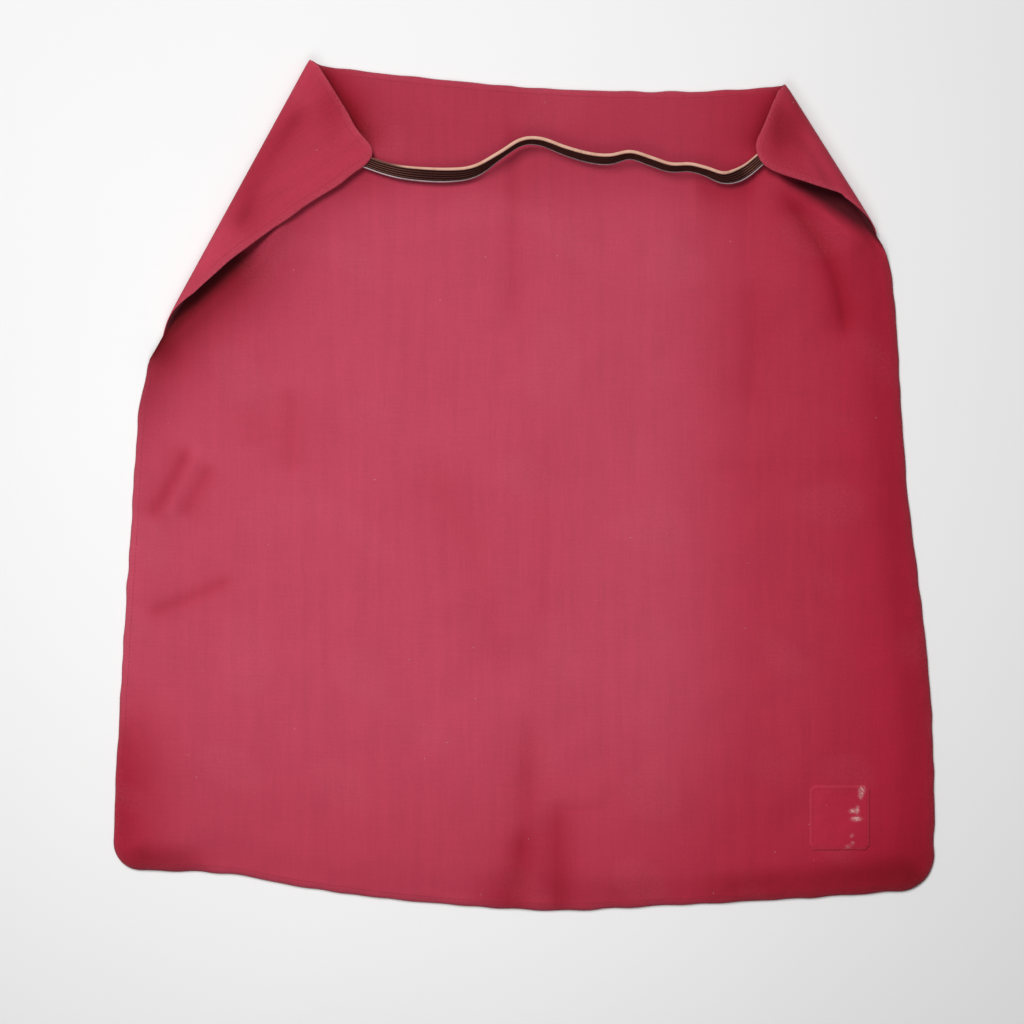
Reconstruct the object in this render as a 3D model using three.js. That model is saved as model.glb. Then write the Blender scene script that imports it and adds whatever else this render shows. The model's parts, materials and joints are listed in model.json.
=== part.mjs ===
// A kayak spray skirt of doubled cloth, lying flat with its two waist corners folded forward
// and joined by a slack elastic strap.
//
// Millimetres. +Y points to the waist, +Z is up, and the origin is under the middle of the skirt.
// Each fold is a straight line. A flap turns about the axis of the soft roll along its fold.
import * as THREE from 'three';

// Cloth
const CLOTH = 1.2;                // one layer of coated cloth
const GAP = 0.3;                  // clearance between neighbouring pieces
const DECK_FIELD_Z = 8;           // top of the upper layer, away from the edges
const FOLD_RADIUS = 10;           // outside of the roll along a fold
const DECK_INSET = 17.5;          // from a fold line to the nearest deck cloth, clear of the roll
const FLAP_INSET = FOLD_RADIUS + GAP;
const FLAP_FIELD_Z = 22;          // top of a flap, away from its edges
// How a layer falls to its hem: pairs of a scale of the outline and a drop below the field
const DECK_FALL = [[0.92, 0], [0.968, 0.6], [0.985, 2]];
const FLAP_FALL = [[0.75, 0], [0.9, 0.6]];

// Seams and hem
const SEAM_WIDTH = 1.6;
const SEAM_HEIGHT = 0.8;
const SEAM_SCALE = 0.992;         // how far in from the outline the seam runs, as a scale of it
const FLAP_SEAM_SCALE = 0.86;
const CORD_RADIUS = 1.75;
const CORD_SCALE = 0.974;

// Strap
const STRAP_WIDTH = 15;
const STRAP_THICKNESS = 2.5;
const STRAP_BASE_Z = 15.6;        // height of the strap's lower edge, all along
const EDGE_WIDTH = 1.5;           // contrast edging along both sides of the elastic
const STITCH_LENGTH = 12;
const STITCH_WIDTH = 9;
const STITCH_HEIGHT = 0.6;

// Patch
const PATCH_SIZE = new THREE.Vector2(54, 58);
const PATCH_CENTRE = new THREE.Vector2(284, -299);
const PATCH_THICKNESS = 0.8;
const PATCH_CORNER = 5;

// Outlines
const LEFT_FOLD = makeFold(new THREE.Vector2(-193, 383), new THREE.Vector2(-320, 151), 1);
const RIGHT_FOLD = makeFold(new THREE.Vector2(235, 361), new THREE.Vector2(325, 218), -1);
const LEFT_WAIST_START = -3;      // where the waist edge meets each fold, along the fold
const RIGHT_WAIST_START = -7;
const TOP_EDGE = [[-85, 367], [20, 358], [131, 355]];
const RIGHT_SIDE = [[327, 207], [334, 167], [345, 5], [364, -157], [369.6, -255], [369.6, -330]];
const BOTTOM_EDGE = [[335, -366], [240, -373], [120, -379], [23, -383], [-100, -375], [-200, -362],
  [-265, -350], [-340, -347]];
const LEFT_SIDE = [[-370, -320], [-368, -265], [-362, -157], [-355, -49], [-348, 59], [-338, 113],
  [-325, 139]];
const LEFT_CORNER = new THREE.Vector2(-370, -347);
const RIGHT_CORNER = new THREE.Vector2(369, -364);
const LEFT_TIP = [[-175, 361], [-161, 338], [-152, 320], [-137, 304], [-136, 296], [-141, 287],
  [-175, 262], [-247, 212]];
const RIGHT_TIP = [[229, 338], [220, 315], [211, 298], [214, 289], [226, 281], [253, 270], [279, 262]];
const LEFT_TIP_CORNER = 4;        // which point of the tip is the corner of the sheet
const RIGHT_TIP_CORNER = 2;
const PLATE_START = 2;            // where a flap's layers start and end, and its roll ends, along the fold
const LEFT_PLATE_END = 236;
const LEFT_ROLL_END = 256;
const RIGHT_PLATE_END = 119;
const RIGHT_ROLL_END = 160;

// Strap route: the plan position of its upper edge, and how far it leans up from lying flat
const STRAP_ROUTE = [
  [-168, 306, 0], [-145, 299, 0], [-122, 291, 2], [-99, 286, 20], [-67, 283, 40], [-45, 285, 54],
  [-23, 296, 74], [-3, 308, 76], [15, 309, 73], [37, 301.5, 68], [58, 296, 63], [76, 294.5, 62],
  [95, 297.5, 70], [114, 292, 68], [131, 286.5, 68], [148, 286.5, 70], [163, 283, 68], [179, 279, 54],
  [194, 287, 16], [209, 299.5, 0], [232, 318, 0],
];
const STRAP_LEFT_SPLIT = 0.063;   // where the sewn ends meet the free strap, along its length
const STRAP_RIGHT_SPLIT = 0.945;

// Colours
const CRIMSON = 0xc1475d;
const CRIMSON_SHADE = 0x9a3046;
const THREAD = 0x7d2437;
const ELASTIC = 0x4a211c;
const CREAM = 0xf3dfc8;
const PALE_GREY = 0xdcdcdc;
const CORD_GREY = 0x3a3a3d;
const PATCH_RED = 0xb8435b;

const skirt = new THREE.Group();

function makeFold(top, foot, side) {
  const along = foot.clone().sub(top).normalize();
  const inward = new THREE.Vector2(-along.y, along.x).multiplyScalar(side);
  return { top, along, inward, length: foot.distanceTo(top), side };
}

function foldPoint(fold, distance, inset) {
  return fold.top.clone().addScaledVector(fold.along, distance).addScaledVector(fold.inward, inset);
}

function toPoints(pairs) {
  return pairs.map(([x, y]) => new THREE.Vector2(x, y));
}

function smooth(points, steps) {
  return new THREE.SplineCurve(points).getPoints(steps);
}

function roundCorner(from, corner, to, steps) {
  return new THREE.QuadraticBezierCurve(from, corner, to).getPoints(steps).slice(1, -1);
}

function centreOf(points) {
  const sum = new THREE.Vector2();
  points.forEach((point) => sum.add(point));
  return sum.divideScalar(points.length);
}

function addPiece(name, geometry, colour, roughness = 0.85) {
  const material = new THREE.MeshStandardMaterial({ color: colour, roughness, metalness: 0 });
  const piece = new THREE.Mesh(geometry, material);
  piece.name = name;
  skirt.add(piece);
  return piece;
}

// Joins equal rings of points into one closed body, with a fan over each end.
function loft(rings) {
  const count = rings[0].length;
  const points = rings.flat();
  const faces = [];
  for (let level = 0; level < rings.length - 1; level += 1) {
    for (let i = 0; i < count; i += 1) {
      const a = level * count + i;
      const b = level * count + ((i + 1) % count);
      faces.push([a, b, b + count], [a, b + count, a + count]);
    }
  }
  const lastRing = (rings.length - 1) * count;
  const ends = [rings[0], rings[rings.length - 1]].map((ring) => {
    const sum = new THREE.Vector3();
    ring.forEach((point) => sum.add(point));
    points.push(sum.divideScalar(count));
    return points.length - 1;
  });
  for (let i = 0; i < count; i += 1) {
    const next = (i + 1) % count;
    faces.push([ends[0], next, i], [ends[1], lastRing + i, lastRing + next]);
  }
  let volume = 0;
  faces.forEach(([a, b, c]) => {
    volume += points[a].dot(points[b].clone().cross(points[c]));
  });
  const outward = volume > 0 ? faces : faces.map(([a, b, c]) => [a, c, b]);
  const geometry = new THREE.BufferGeometry();
  geometry.setAttribute('position', new THREE.Float32BufferAttribute(points.flatMap((p) => p.toArray()), 3));
  geometry.setIndex(outward.flat());
  geometry.computeVertexNormals();
  return geometry;
}

// The levels of a layer that falls from its field to a rim at its hem, for sheet().
function layerLevels(fieldZ, fall, rimZ) {
  const under = fall.map(([scale, drop]) => [scale, fieldZ - CLOTH - drop]);
  const over = fall.map(([scale, drop]) => [scale, fieldZ - drop]).reverse();
  return [...under, [1, rimZ], [1, rimZ + CLOTH], ...over];
}

// A sheet with the given outline. Each level scales the outline about its centre and gives a height.
function sheet(outline, centre, levels) {
  return loft(levels.map(([scale, z]) => outline.map((point) => {
    const scaled = point.clone().sub(centre).multiplyScalar(scale).add(centre);
    return new THREE.Vector3(scaled.x, scaled.y, z);
  })));
}

// A bar or cord along a run of points, scaled about a centre and held at one height.
function sweep(run, centre, scale, z, section, steps) {
  const route = run.map((point) => {
    const scaled = point.clone().sub(centre).multiplyScalar(scale).add(centre);
    return new THREE.Vector3(scaled.x, scaled.y, z);
  });
  const extrudePath = new THREE.CatmullRomCurve3(route);
  return new THREE.ExtrudeGeometry(section, { steps, bevelEnabled: false, extrudePath });
}

function bar(height, width) {
  const half = new THREE.Vector2(height / 2, width / 2);
  return new THREE.Shape([
    new THREE.Vector2(-half.x, -half.y),
    new THREE.Vector2(half.x, -half.y),
    new THREE.Vector2(half.x, half.y),
    new THREE.Vector2(-half.x, half.y),
  ]);
}

function octagon(radius) {
  const points = [];
  for (let i = 0; i < 8; i += 1) {
    const angle = (i + 0.5) * Math.PI / 4;
    points.push(new THREE.Vector2(radius * Math.cos(angle), radius * Math.sin(angle)));
  }
  return new THREE.Shape(points);
}

// Deck: two layers, the seams that join them, the cord in the hem and the patch
function buildDeck() {
  const origin = new THREE.Vector2();
  const top = smooth([
    foldPoint(LEFT_FOLD, LEFT_WAIST_START, DECK_INSET),
    ...toPoints(TOP_EDGE),
    foldPoint(RIGHT_FOLD, RIGHT_WAIST_START, DECK_INSET),
  ], 14);
  const right = smooth(toPoints(RIGHT_SIDE), 12);
  const bottom = smooth(toPoints(BOTTOM_EDGE), 20);
  const left = smooth(toPoints(LEFT_SIDE), 12);
  const rightCorner = roundCorner(right.at(-1), RIGHT_CORNER, bottom[0], 5);
  const leftCorner = roundCorner(bottom.at(-1), LEFT_CORNER, left[0], 5);
  const outline = [
    ...top,
    foldPoint(RIGHT_FOLD, RIGHT_FOLD.length, DECK_INSET),
    ...right,
    ...rightCorner,
    ...bottom,
    ...leftCorner,
    ...left,
    foldPoint(LEFT_FOLD, LEFT_FOLD.length, DECK_INSET),
  ];
  const rimZ = CLOTH + GAP;
  addPiece('deck_back_panel', sheet(outline, origin, [[1, 0], [1, CLOTH]]), CRIMSON_SHADE);
  const faceLevels = layerLevels(DECK_FIELD_Z, DECK_FALL, rimZ);
  addPiece('deck_face_panel', sheet(outline, origin, faceLevels), CRIMSON);

  const seam = bar(SEAM_HEIGHT, SEAM_WIDTH);
  const seamZ = rimZ + SEAM_HEIGHT / 2;
  const runs = {
    top_seam: top,
    right_side_seam: right.slice(0, -1),
    bottom_seam: [...rightCorner, ...bottom, ...leftCorner],
    left_side_seam: left.slice(1),
  };
  Object.entries(runs).forEach(([name, run]) => {
    addPiece(name, sweep(run, origin, SEAM_SCALE, seamZ, seam, 2 * run.length), THREAD);
  });

  const hem = [...right, ...rightCorner, ...bottom, ...leftCorner, ...left];
  const cordZ = rimZ + CORD_RADIUS;
  addPiece('hem_shock_cord', sweep(hem, origin, CORD_SCALE, cordZ, octagon(CORD_RADIUS), 76), CORD_GREY);

  const patch = new THREE.ExtrudeGeometry(roundedRectangle(PATCH_SIZE, PATCH_CORNER), {
    depth: PATCH_THICKNESS,
    bevelEnabled: false,
    curveSegments: 4,
  });
  const patchPiece = addPiece('label_patch', patch, PATCH_RED);
  patchPiece.position.set(PATCH_CENTRE.x, PATCH_CENTRE.y, DECK_FIELD_Z + GAP);
}

function roundedRectangle(size, corner) {
  const x = size.x / 2;
  const y = size.y / 2;
  const shape = new THREE.Shape();
  shape.moveTo(-x + corner, -y);
  shape.lineTo(x - corner, -y);
  shape.absarc(x - corner, -y + corner, corner, -Math.PI / 2, 0);
  shape.lineTo(x, y - corner);
  shape.absarc(x - corner, y - corner, corner, 0, Math.PI / 2);
  shape.lineTo(-x + corner, y);
  shape.absarc(-x + corner, y - corner, corner, Math.PI / 2, Math.PI);
  shape.lineTo(-x, -y + corner);
  shape.absarc(-x + corner, -y + corner, corner, Math.PI, 1.5 * Math.PI);
  return shape;
}

// The half tube that one layer makes as it turns over the fold
function foldRoll(fold, outerRadius, depth) {
  const section = new THREE.Shape();
  section.absarc(0, 0, outerRadius, Math.PI / 2, 1.5 * Math.PI, false);
  section.absarc(0, 0, outerRadius - CLOTH, 1.5 * Math.PI, Math.PI / 2, true);
  const geometry = new THREE.ExtrudeGeometry(section, { depth, bevelEnabled: false, curveSegments: 10 });
  const near = foldPoint(fold, fold.side > 0 ? 0 : depth, FOLD_RADIUS);
  const inward = new THREE.Vector3(fold.inward.x, fold.inward.y, 0);
  const up = new THREE.Vector3(0, 0, 1);
  const placing = new THREE.Matrix4().makeBasis(inward, up, inward.clone().cross(up));
  placing.setPosition(near.x, near.y, FOLD_RADIUS);
  geometry.applyMatrix4(placing);
  return geometry;
}

// A flap: two layers, their rolls over the fold, and the seams along its two free edges
function buildFlap(prefix, fold, tip, corner, plateEnd, rollEnd) {
  const edge = toPoints(tip);
  const start = foldPoint(fold, PLATE_START, FLAP_INSET);
  const end = foldPoint(fold, plateEnd, FLAP_INSET);
  const outline = [start, ...edge, end];
  const centre = centreOf([start, end, edge[corner]]);
  const outerZ = 2 * FOLD_RADIUS - CLOTH;
  const innerZ = outerZ - GAP - CLOTH;
  const outer = sheet(outline, centre, layerLevels(FLAP_FIELD_Z, FLAP_FALL, outerZ));
  const inner = sheet(outline, centre, [[1, innerZ], [1, innerZ + CLOTH]]);
  addPiece(`${prefix}_flap_outer_layer`, outer, CRIMSON);
  addPiece(`${prefix}_flap_inner_layer`, inner, CRIMSON_SHADE);
  addPiece(`${prefix}_fold_outer_roll`, foldRoll(fold, FOLD_RADIUS, rollEnd), CRIMSON);
  addPiece(`${prefix}_fold_inner_roll`, foldRoll(fold, FOLD_RADIUS - CLOTH - GAP, rollEnd), CRIMSON_SHADE);

  const seam = bar(SEAM_HEIGHT, SEAM_WIDTH);
  const seamZ = outerZ + SEAM_HEIGHT / 2;
  const runs = {
    top: [start, ...edge.slice(0, corner)],
    side: [...edge.slice(corner + 1), end],
  };
  Object.entries(runs).forEach(([side, run]) => {
    const geometry = sweep(run, centre, FLAP_SEAM_SCALE, seamZ, seam, 4 * run.length);
    addPiece(`${prefix}_flap_${side}_seam`, geometry, THREAD);
  });
}

// Place and directions of the strap at a fraction of its length
const strapCurve = new THREE.CatmullRomCurve3(STRAP_ROUTE.map((stop) => new THREE.Vector3(...stop)));

function strapFrame(fraction) {
  const stop = strapCurve.getPoint(fraction);
  const heading = strapCurve.getTangent(fraction).setZ(0).normalize();
  const lean = THREE.MathUtils.degToRad(stop.z);
  const across = new THREE.Vector3(-heading.y * Math.cos(lean), heading.x * Math.cos(lean), Math.sin(lean));
  const through = heading.clone().cross(across);
  const upper = new THREE.Vector3(stop.x, stop.y, STRAP_BASE_Z + STRAP_WIDTH * Math.sin(lean));
  const middle = upper.addScaledVector(across, -STRAP_WIDTH / 2);
  return { middle, across, through, heading };
}

// A length of the strap between two fractions, and between two offsets across its width
function ribbon(from, to, low, high, steps) {
  const rings = [];
  for (let i = 0; i <= steps; i += 1) {
    const { middle, across, through } = strapFrame(from + (to - from) * i / steps);
    const half = STRAP_THICKNESS / 2;
    rings.push([[low, -half], [high, -half], [high, half], [low, half]].map(([width, depth]) => (
      middle.clone().addScaledVector(across, width).addScaledVector(through, depth)
    )));
  }
  return loft(rings);
}

function buildStrap() {
  const half = STRAP_WIDTH / 2;
  const inner = half - EDGE_WIDTH - GAP;
  const from = STRAP_LEFT_SPLIT;
  const to = STRAP_RIGHT_SPLIT;
  const gap = 0.002;
  addPiece('strap_elastic', ribbon(from + gap, to - gap, -inner, inner, 64), ELASTIC, 0.7);
  addPiece('strap_upper_edge', ribbon(from + gap, to - gap, half - EDGE_WIDTH, half, 64), CREAM, 0.7);
  addPiece('strap_lower_edge', ribbon(from + gap, to - gap, -half, EDGE_WIDTH - half, 64), PALE_GREY, 0.7);
  addPiece('left_strap_end', ribbon(0, from, -half, half, 6), ELASTIC, 0.7);
  addPiece('right_strap_end', ribbon(to, 1, -half, half, 6), ELASTIC, 0.7);
  addStitches('left_strap_stitches', 0.5 * from);
  addStitches('right_strap_stitches', 0.5 * (to + 1));
}

// The sewn box that holds a strap end, on the underside of the strap
function addStitches(name, fraction) {
  const { middle, heading } = strapFrame(fraction);
  const piece = addPiece(name, new THREE.BoxGeometry(STITCH_LENGTH, STITCH_WIDTH, STITCH_HEIGHT), THREAD);
  const depth = (STRAP_THICKNESS + STITCH_HEIGHT) / 2 + GAP;
  piece.position.set(middle.x, middle.y, STRAP_BASE_Z - depth);
  piece.rotation.z = Math.atan2(heading.y, heading.x);
}

buildDeck();
buildFlap('left', LEFT_FOLD, LEFT_TIP, LEFT_TIP_CORNER, LEFT_PLATE_END, LEFT_ROLL_END);
buildFlap('right', RIGHT_FOLD, RIGHT_TIP, RIGHT_TIP_CORNER, RIGHT_PLATE_END, RIGHT_ROLL_END);
buildStrap();

export default skirt;
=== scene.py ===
import json
import math

import bpy
import numpy as np
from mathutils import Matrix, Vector
from mathutils.bvhtree import BVHTree


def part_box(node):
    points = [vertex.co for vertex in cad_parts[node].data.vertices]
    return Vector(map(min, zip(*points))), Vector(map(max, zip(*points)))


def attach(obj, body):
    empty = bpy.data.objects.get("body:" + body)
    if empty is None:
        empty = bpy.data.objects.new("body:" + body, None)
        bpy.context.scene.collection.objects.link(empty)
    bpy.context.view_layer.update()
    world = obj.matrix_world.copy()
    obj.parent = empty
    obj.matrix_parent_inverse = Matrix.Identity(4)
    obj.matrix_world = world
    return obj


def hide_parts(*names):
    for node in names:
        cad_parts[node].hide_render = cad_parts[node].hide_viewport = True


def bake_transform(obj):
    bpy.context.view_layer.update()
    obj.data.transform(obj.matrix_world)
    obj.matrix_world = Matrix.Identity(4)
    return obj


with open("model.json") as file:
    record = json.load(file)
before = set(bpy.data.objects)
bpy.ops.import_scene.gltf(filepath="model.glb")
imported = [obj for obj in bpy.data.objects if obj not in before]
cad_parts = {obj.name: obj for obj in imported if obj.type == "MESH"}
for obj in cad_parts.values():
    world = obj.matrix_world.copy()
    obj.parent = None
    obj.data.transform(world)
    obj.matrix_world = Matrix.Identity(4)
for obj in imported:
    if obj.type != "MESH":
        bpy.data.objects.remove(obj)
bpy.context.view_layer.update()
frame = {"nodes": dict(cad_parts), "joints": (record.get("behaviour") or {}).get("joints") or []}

# Lengths in this script are millimetres. MM turns them into the scene's metres when a mesh is made.
MM = 0.001

# Cloth
CLOTH = 0.9  # one layer
CUT_BULGE = 0.3  # how far a cut edge rounds out, as a share of its thickness
FLOOR_CLEARANCE = 0.1
RIM_Z = 1.6  # middle of the upper layer at the hem
HEM_ROLL = 8.0  # how far in from the hem the cloth has risen over the cord
HEM_RISE = 4.3
FIELD_RISE = 3.2  # the slower rise beyond it
FIELD_RUN = 40.0
FOLD_MIDDLE = 8.3  # radius of the middle of the two layers in a fold's roll
FLAP_RISE = 1.9  # half the space between a flap's two layers, away from its edges
ROLL_RISE = 1.25
PINCH = 0.5  # half the space at a hem
EDGE_RUN = 7.0  # from a hem to where two folded layers are fully apart
CORNER_START = 8.0  # where a corner's outer cloth meets the deck's back, in from the axis
BACK_START = CORNER_START + 0.3  # the deck's back starts just clear of it

# Outlines, in plan. Each fold is a straight line, given by the frame's joint.
TOP_EDGE = [(-193, 383), (-172, 377), (-85, 367), (20, 358), (131, 355), (205, 358), (235, 361)]
RIGHT_SIDE = [(370, -330), (369.6, -255), (364, -157), (345, 5), (334, 167), (326, 216)]
LEFT_SIDE = [(-370, -320), (-368, -265), (-362, -157), (-355, -49), (-348, 59), (-338, 113)]
BOTTOM_EDGE = [(-340, -347), (-265, -350), (-200, -362), (-100, -375), (23, -383), (120, -379),
               (240, -373), (335, -366)]
LEFT_CORNER = (-370, -347)
RIGHT_CORNER = (370, -364)
LEFT_TIP = [(-175, 361), (-161, 338), (-151, 320), (-138, 305), (-136, 296), (-142, 287),
            (-155, 278), (-178, 262), (-202, 246.5), (-238, 221.5), (-262, 203)]
RIGHT_TIP = [(222, 340), (214, 320), (208, 304), (211, 292), (219, 284), (231, 279), (247, 273),
             (266, 267), (283, 262)]

# Strap: plan position of its upper edge and its lean up from lying flat, in degrees
STRAP_ROUTE = [
    (-168, 306, 0), (-145, 299, 0), (-122, 291, 2), (-99, 286, 20), (-67, 283, 40), (-45, 285, 54),
    (-23, 296, 74), (-3, 308, 76), (15, 309, 73), (37, 301.5, 68), (58, 296, 63), (76, 294.5, 62),
    (95, 297.5, 70), (114, 292, 68), (131, 286.5, 68), (148, 286.5, 70), (163, 283, 68), (179, 279, 54),
    (194, 287, 16), (209, 299.5, 0), (232, 318, 0),
]
STRAP_BASE_Z = 15.6
STRAP_WIDTH = 15.0
STRAP_RINGS = 260
ROUTE_SPACING = 0.5  # between the samples of the strap's route
ROUTE_SOFTENING = 13  # how many samples on each side even out its bends and lean

# Grids of the larger pieces: rows and columns
FACE_GRID = (230, 222)
BACK_GRID = (90, 88)
PATCH_GRID = (59, 55)
CORNER_COLUMNS = 120
ROLL_ROWS = 22
FLAP_ROWS = 45

ABOVE_ALL = 0.2  # in metres, a height above the whole skirt, to look down from
TINY = 1e-9  # keeps a division away from zero


# ======== curves and fields

def spline(points, spacing=2.0):
    """A smooth curve through the points, as samples evenly spaced along it."""
    knots = np.array(points, float)
    padded = np.vstack([2 * knots[0] - knots[1], knots, 2 * knots[-1] - knots[-2]])
    steps = 24
    t = np.linspace(0, 1, steps, endpoint=False)[:, None]
    runs = []
    for i in range(len(knots) - 1):
        a, b, c, d = padded[i:i + 4]
        runs.append(0.5 * (2 * b + (c - a) * t + (2 * a - 5 * b + 4 * c - d) * t ** 2
                           + (3 * b - a - 3 * c + d) * t ** 3))
    curve = np.vstack(runs + [knots[-1:]])
    return resample(curve, max(2, int(round(lengths(curve)[-1] / spacing))))


def lengths(curve):
    return np.concatenate([[0], np.cumsum(np.linalg.norm(np.diff(curve, axis=0), axis=1))])


def resample(curve, count):
    return at_share(curve, np.linspace(0, 1, count + 1))


def at_share(curve, share):
    """Points at the given shares of the curve's length."""
    run = lengths(curve)
    return np.stack([np.interp(share * run[-1], run, curve[:, k]) for k in range(curve.shape[1])], -1)


def raised(plan, z):
    """Plan points at their heights."""
    return np.concatenate([plan, z[..., None]], -1)


def smooth(t):
    t = np.clip(t, 0, 1)
    return t * t * (3 - 2 * t)


def past(x, start, run):
    """0 up to a start, then rising to 1 over a run."""
    return smooth((x - start) / run)


def dome(t):
    """A quarter circle from 0 to 1, flat from t = 1 on."""
    return np.sqrt(1 - (1 - np.clip(t, 0, 1)) ** 2)


def distance(points, curve):
    """Distance from each plan point to a curve's samples."""
    flat = points.reshape(-1, 2)
    best = np.full(len(flat), 1e9)
    for start, end in zip(curve[:-1], curve[1:]):
        way = end - start
        share = np.clip((flat - start) @ way / (way @ way), 0, 1)
        best = np.minimum(best, np.hypot(*(flat - start - share[:, None] * way).T))
    return best.reshape(points.shape[:-1])


def ripple(points, wavelength, seed):
    """A smooth random field with a spread of about 1."""
    rng = np.random.default_rng(seed)
    field = np.zeros(points.shape[:-1])
    waves = 14
    for _ in range(waves):
        angle, phase = rng.uniform(0, 2 * math.pi, 2)
        k = 2 * math.pi / (wavelength * rng.uniform(0.7, 1.5))
        field += np.sin(k * (points[..., 0] * math.cos(angle) + points[..., 1] * math.sin(angle)) + phase)
    return field * math.sqrt(2 / waves)


def crease(points, line, width, depth, sharp=0.8):
    """A pressed line in the cloth: positive depth is a ridge, and it fades at both ends."""
    curve = spline(line, 6.0)
    d = distance(points, curve)
    start, end = curve[0], curve[-1]
    way = (end - start) / np.linalg.norm(end - start)
    along = ((points - start) @ way) / np.linalg.norm(end - start)
    fade = smooth(along / 0.2) * past(1, along, 0.2)
    return depth * np.exp(-np.sqrt(d ** 2 + sharp ** 2) / width) * fade


def swell(points, centre, size, height):
    """A soft mound, or a hollow where height is negative."""
    d = (points - np.array(centre, float)) / np.array(size, float)
    return height * np.exp(-(d ** 2).sum(-1))


# ======== folds

class Fold:
    """A corner's fold line, from its joint. s runs down the fold, n runs in over the deck from the axis."""

    def __init__(self, joint_name, down):
        joint = next(j for j in frame["joints"] if j["name"] == joint_name)
        axis = np.array(joint["axis"][:2], float)
        self.along = axis * down / np.linalg.norm(axis)
        self.inward = np.array([-self.along[1], self.along[0]]) * down
        self.origin = np.array(joint["pos_m"][:2], float) / MM
        self.height = joint["pos_m"][2] / MM

    def split(self, points):
        offset = points - self.origin
        return offset @ self.along, offset @ self.inward

    def plan(self, s, n):
        return self.origin + s[..., None] * self.along + n[..., None] * self.inward

    def spot(self, s, n):
        """One plan point."""
        return self.plan(np.array(float(s)), np.array(float(n)))

    def point(self, s, n, z):
        """One point, in metres."""
        return tuple(np.append(self.spot(s, n), z) * MM)


LEFT = Fold("left_flap_fold", 1)
RIGHT = Fold("right_flap_fold", -1)


# ======== meshes

def make_object(name, vertices, faces, attributes):
    """A smooth mesh from millimetre vertices. Attributes are one number or one vector a vertex."""
    mesh = bpy.data.meshes.new(name)
    mesh.from_pydata((np.asarray(vertices) * MM).tolist(), [], [tuple(face) for face in faces])
    for key, values in attributes.items():
        values = np.asarray(values, np.float32)
        kind, field = ("FLOAT_VECTOR", "vector") if values.ndim == 2 else ("FLOAT", "value")
        mesh.attributes.new(key, kind, "POINT").data.foreach_set(field, values.ravel())
    mesh.validate()
    mesh.shade_smooth()
    piece = bpy.data.objects.new(name, mesh)
    bpy.context.scene.collection.objects.link(piece)
    return piece


def grid_normals(points):
    across = np.gradient(points, axis=1)
    up = np.gradient(points, axis=0)
    normal = np.cross(across, up)
    size = np.linalg.norm(normal, axis=-1, keepdims=True)
    return np.where(size > TINY, normal / np.maximum(size, TINY), np.array([0.0, 0.0, 1.0]))


def grid_faces(rows, columns, offset=0, flip=False):
    index = np.arange(rows * columns).reshape(rows, columns) + offset
    quads = [index[:-1, :-1], index[:-1, 1:], index[1:, 1:], index[1:, :-1]]
    faces = np.stack(quads, -1).reshape(-1, 4)
    return faces[:, ::-1] if flip else faces


def border(rows, columns):
    """The grid positions around its edge, and the position just inside each."""
    last_row, last_column = rows - 1, columns - 1
    ring = [(0, j) for j in range(last_column)]
    ring += [(i, last_column) for i in range(last_row)]
    ring += [(last_row, j) for j in range(last_column, 0, -1)]
    ring += [(i, 0) for i in range(last_row, 0, -1)]
    inside = [(min(max(i, 1), rows - 2), min(max(j, 1), columns - 2)) for i, j in ring]
    return np.array(ring), np.array(inside)


def cloth_shell(name, points, thickness, **attributes):
    """A layer of cloth around a grid of middle points, closed with a rounded cut edge."""
    rows, columns = points.shape[:2]
    ring, inside = border(rows, columns)
    rim = points[ring[:, 0], ring[:, 1]]
    out = rim - points[inside[:, 0], inside[:, 1]]
    out /= np.maximum(np.linalg.norm(out, axis=-1, keepdims=True), TINY)
    half = grid_normals(points) * thickness / 2
    count = rows * columns
    vertices = np.vstack([(points + half).reshape(-1, 3), (points - half).reshape(-1, 3),
                          rim + out * thickness * CUT_BULGE])
    upper = ring[:, 0] * columns + ring[:, 1]
    middle = 2 * count + np.arange(len(ring))
    next_upper, next_middle = np.roll(upper, -1), np.roll(middle, -1)
    faces = np.vstack([
        grid_faces(rows, columns),
        grid_faces(rows, columns, count, flip=True),
        np.stack([next_upper, upper, middle, next_middle], -1),
        np.stack([next_middle, middle, upper + count, next_upper + count], -1),
    ])
    spread = {}
    for key, values in attributes.items():
        on_rim = values[ring[:, 0], ring[:, 1]]
        listed = values.reshape(count, *values.shape[2:])
        spread[key] = np.concatenate([listed, listed, on_rim])
    return make_object(name, vertices, faces, spread)


def tube(name, rings, **attributes):
    """A closed tube through rings of points, with one face over each end."""
    rows, columns = rings.shape[:2]
    count = rows * columns
    index = np.arange(count).reshape(rows, columns)
    after = np.roll(index, -1, axis=1)
    faces = list(np.stack([index[:-1], after[:-1], after[1:], index[1:]], -1).reshape(-1, 4))
    faces += [index[0][::-1], index[-1]]
    spread = {key: values.reshape(count, *values.shape[2:]) for key, values in attributes.items()}
    return make_object(name, rings.reshape(-1, 3), faces, spread)


def surface_of(piece):
    """A piece's faces, made ready for looking down on."""
    return BVHTree.FromPolygons([v.co for v in piece.data.vertices],
                                [p.vertices for p in piece.data.polygons])


def look_down(surface, x, y):
    """The point under a plan point on a surface, in metres, and its normal. Both are None past its edge."""
    hit, normal, _, _ = surface.ray_cast(Vector((x * MM, y * MM, ABOVE_ALL)), Vector((0, 0, -1)))
    return hit, normal


# ======== materials

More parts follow.
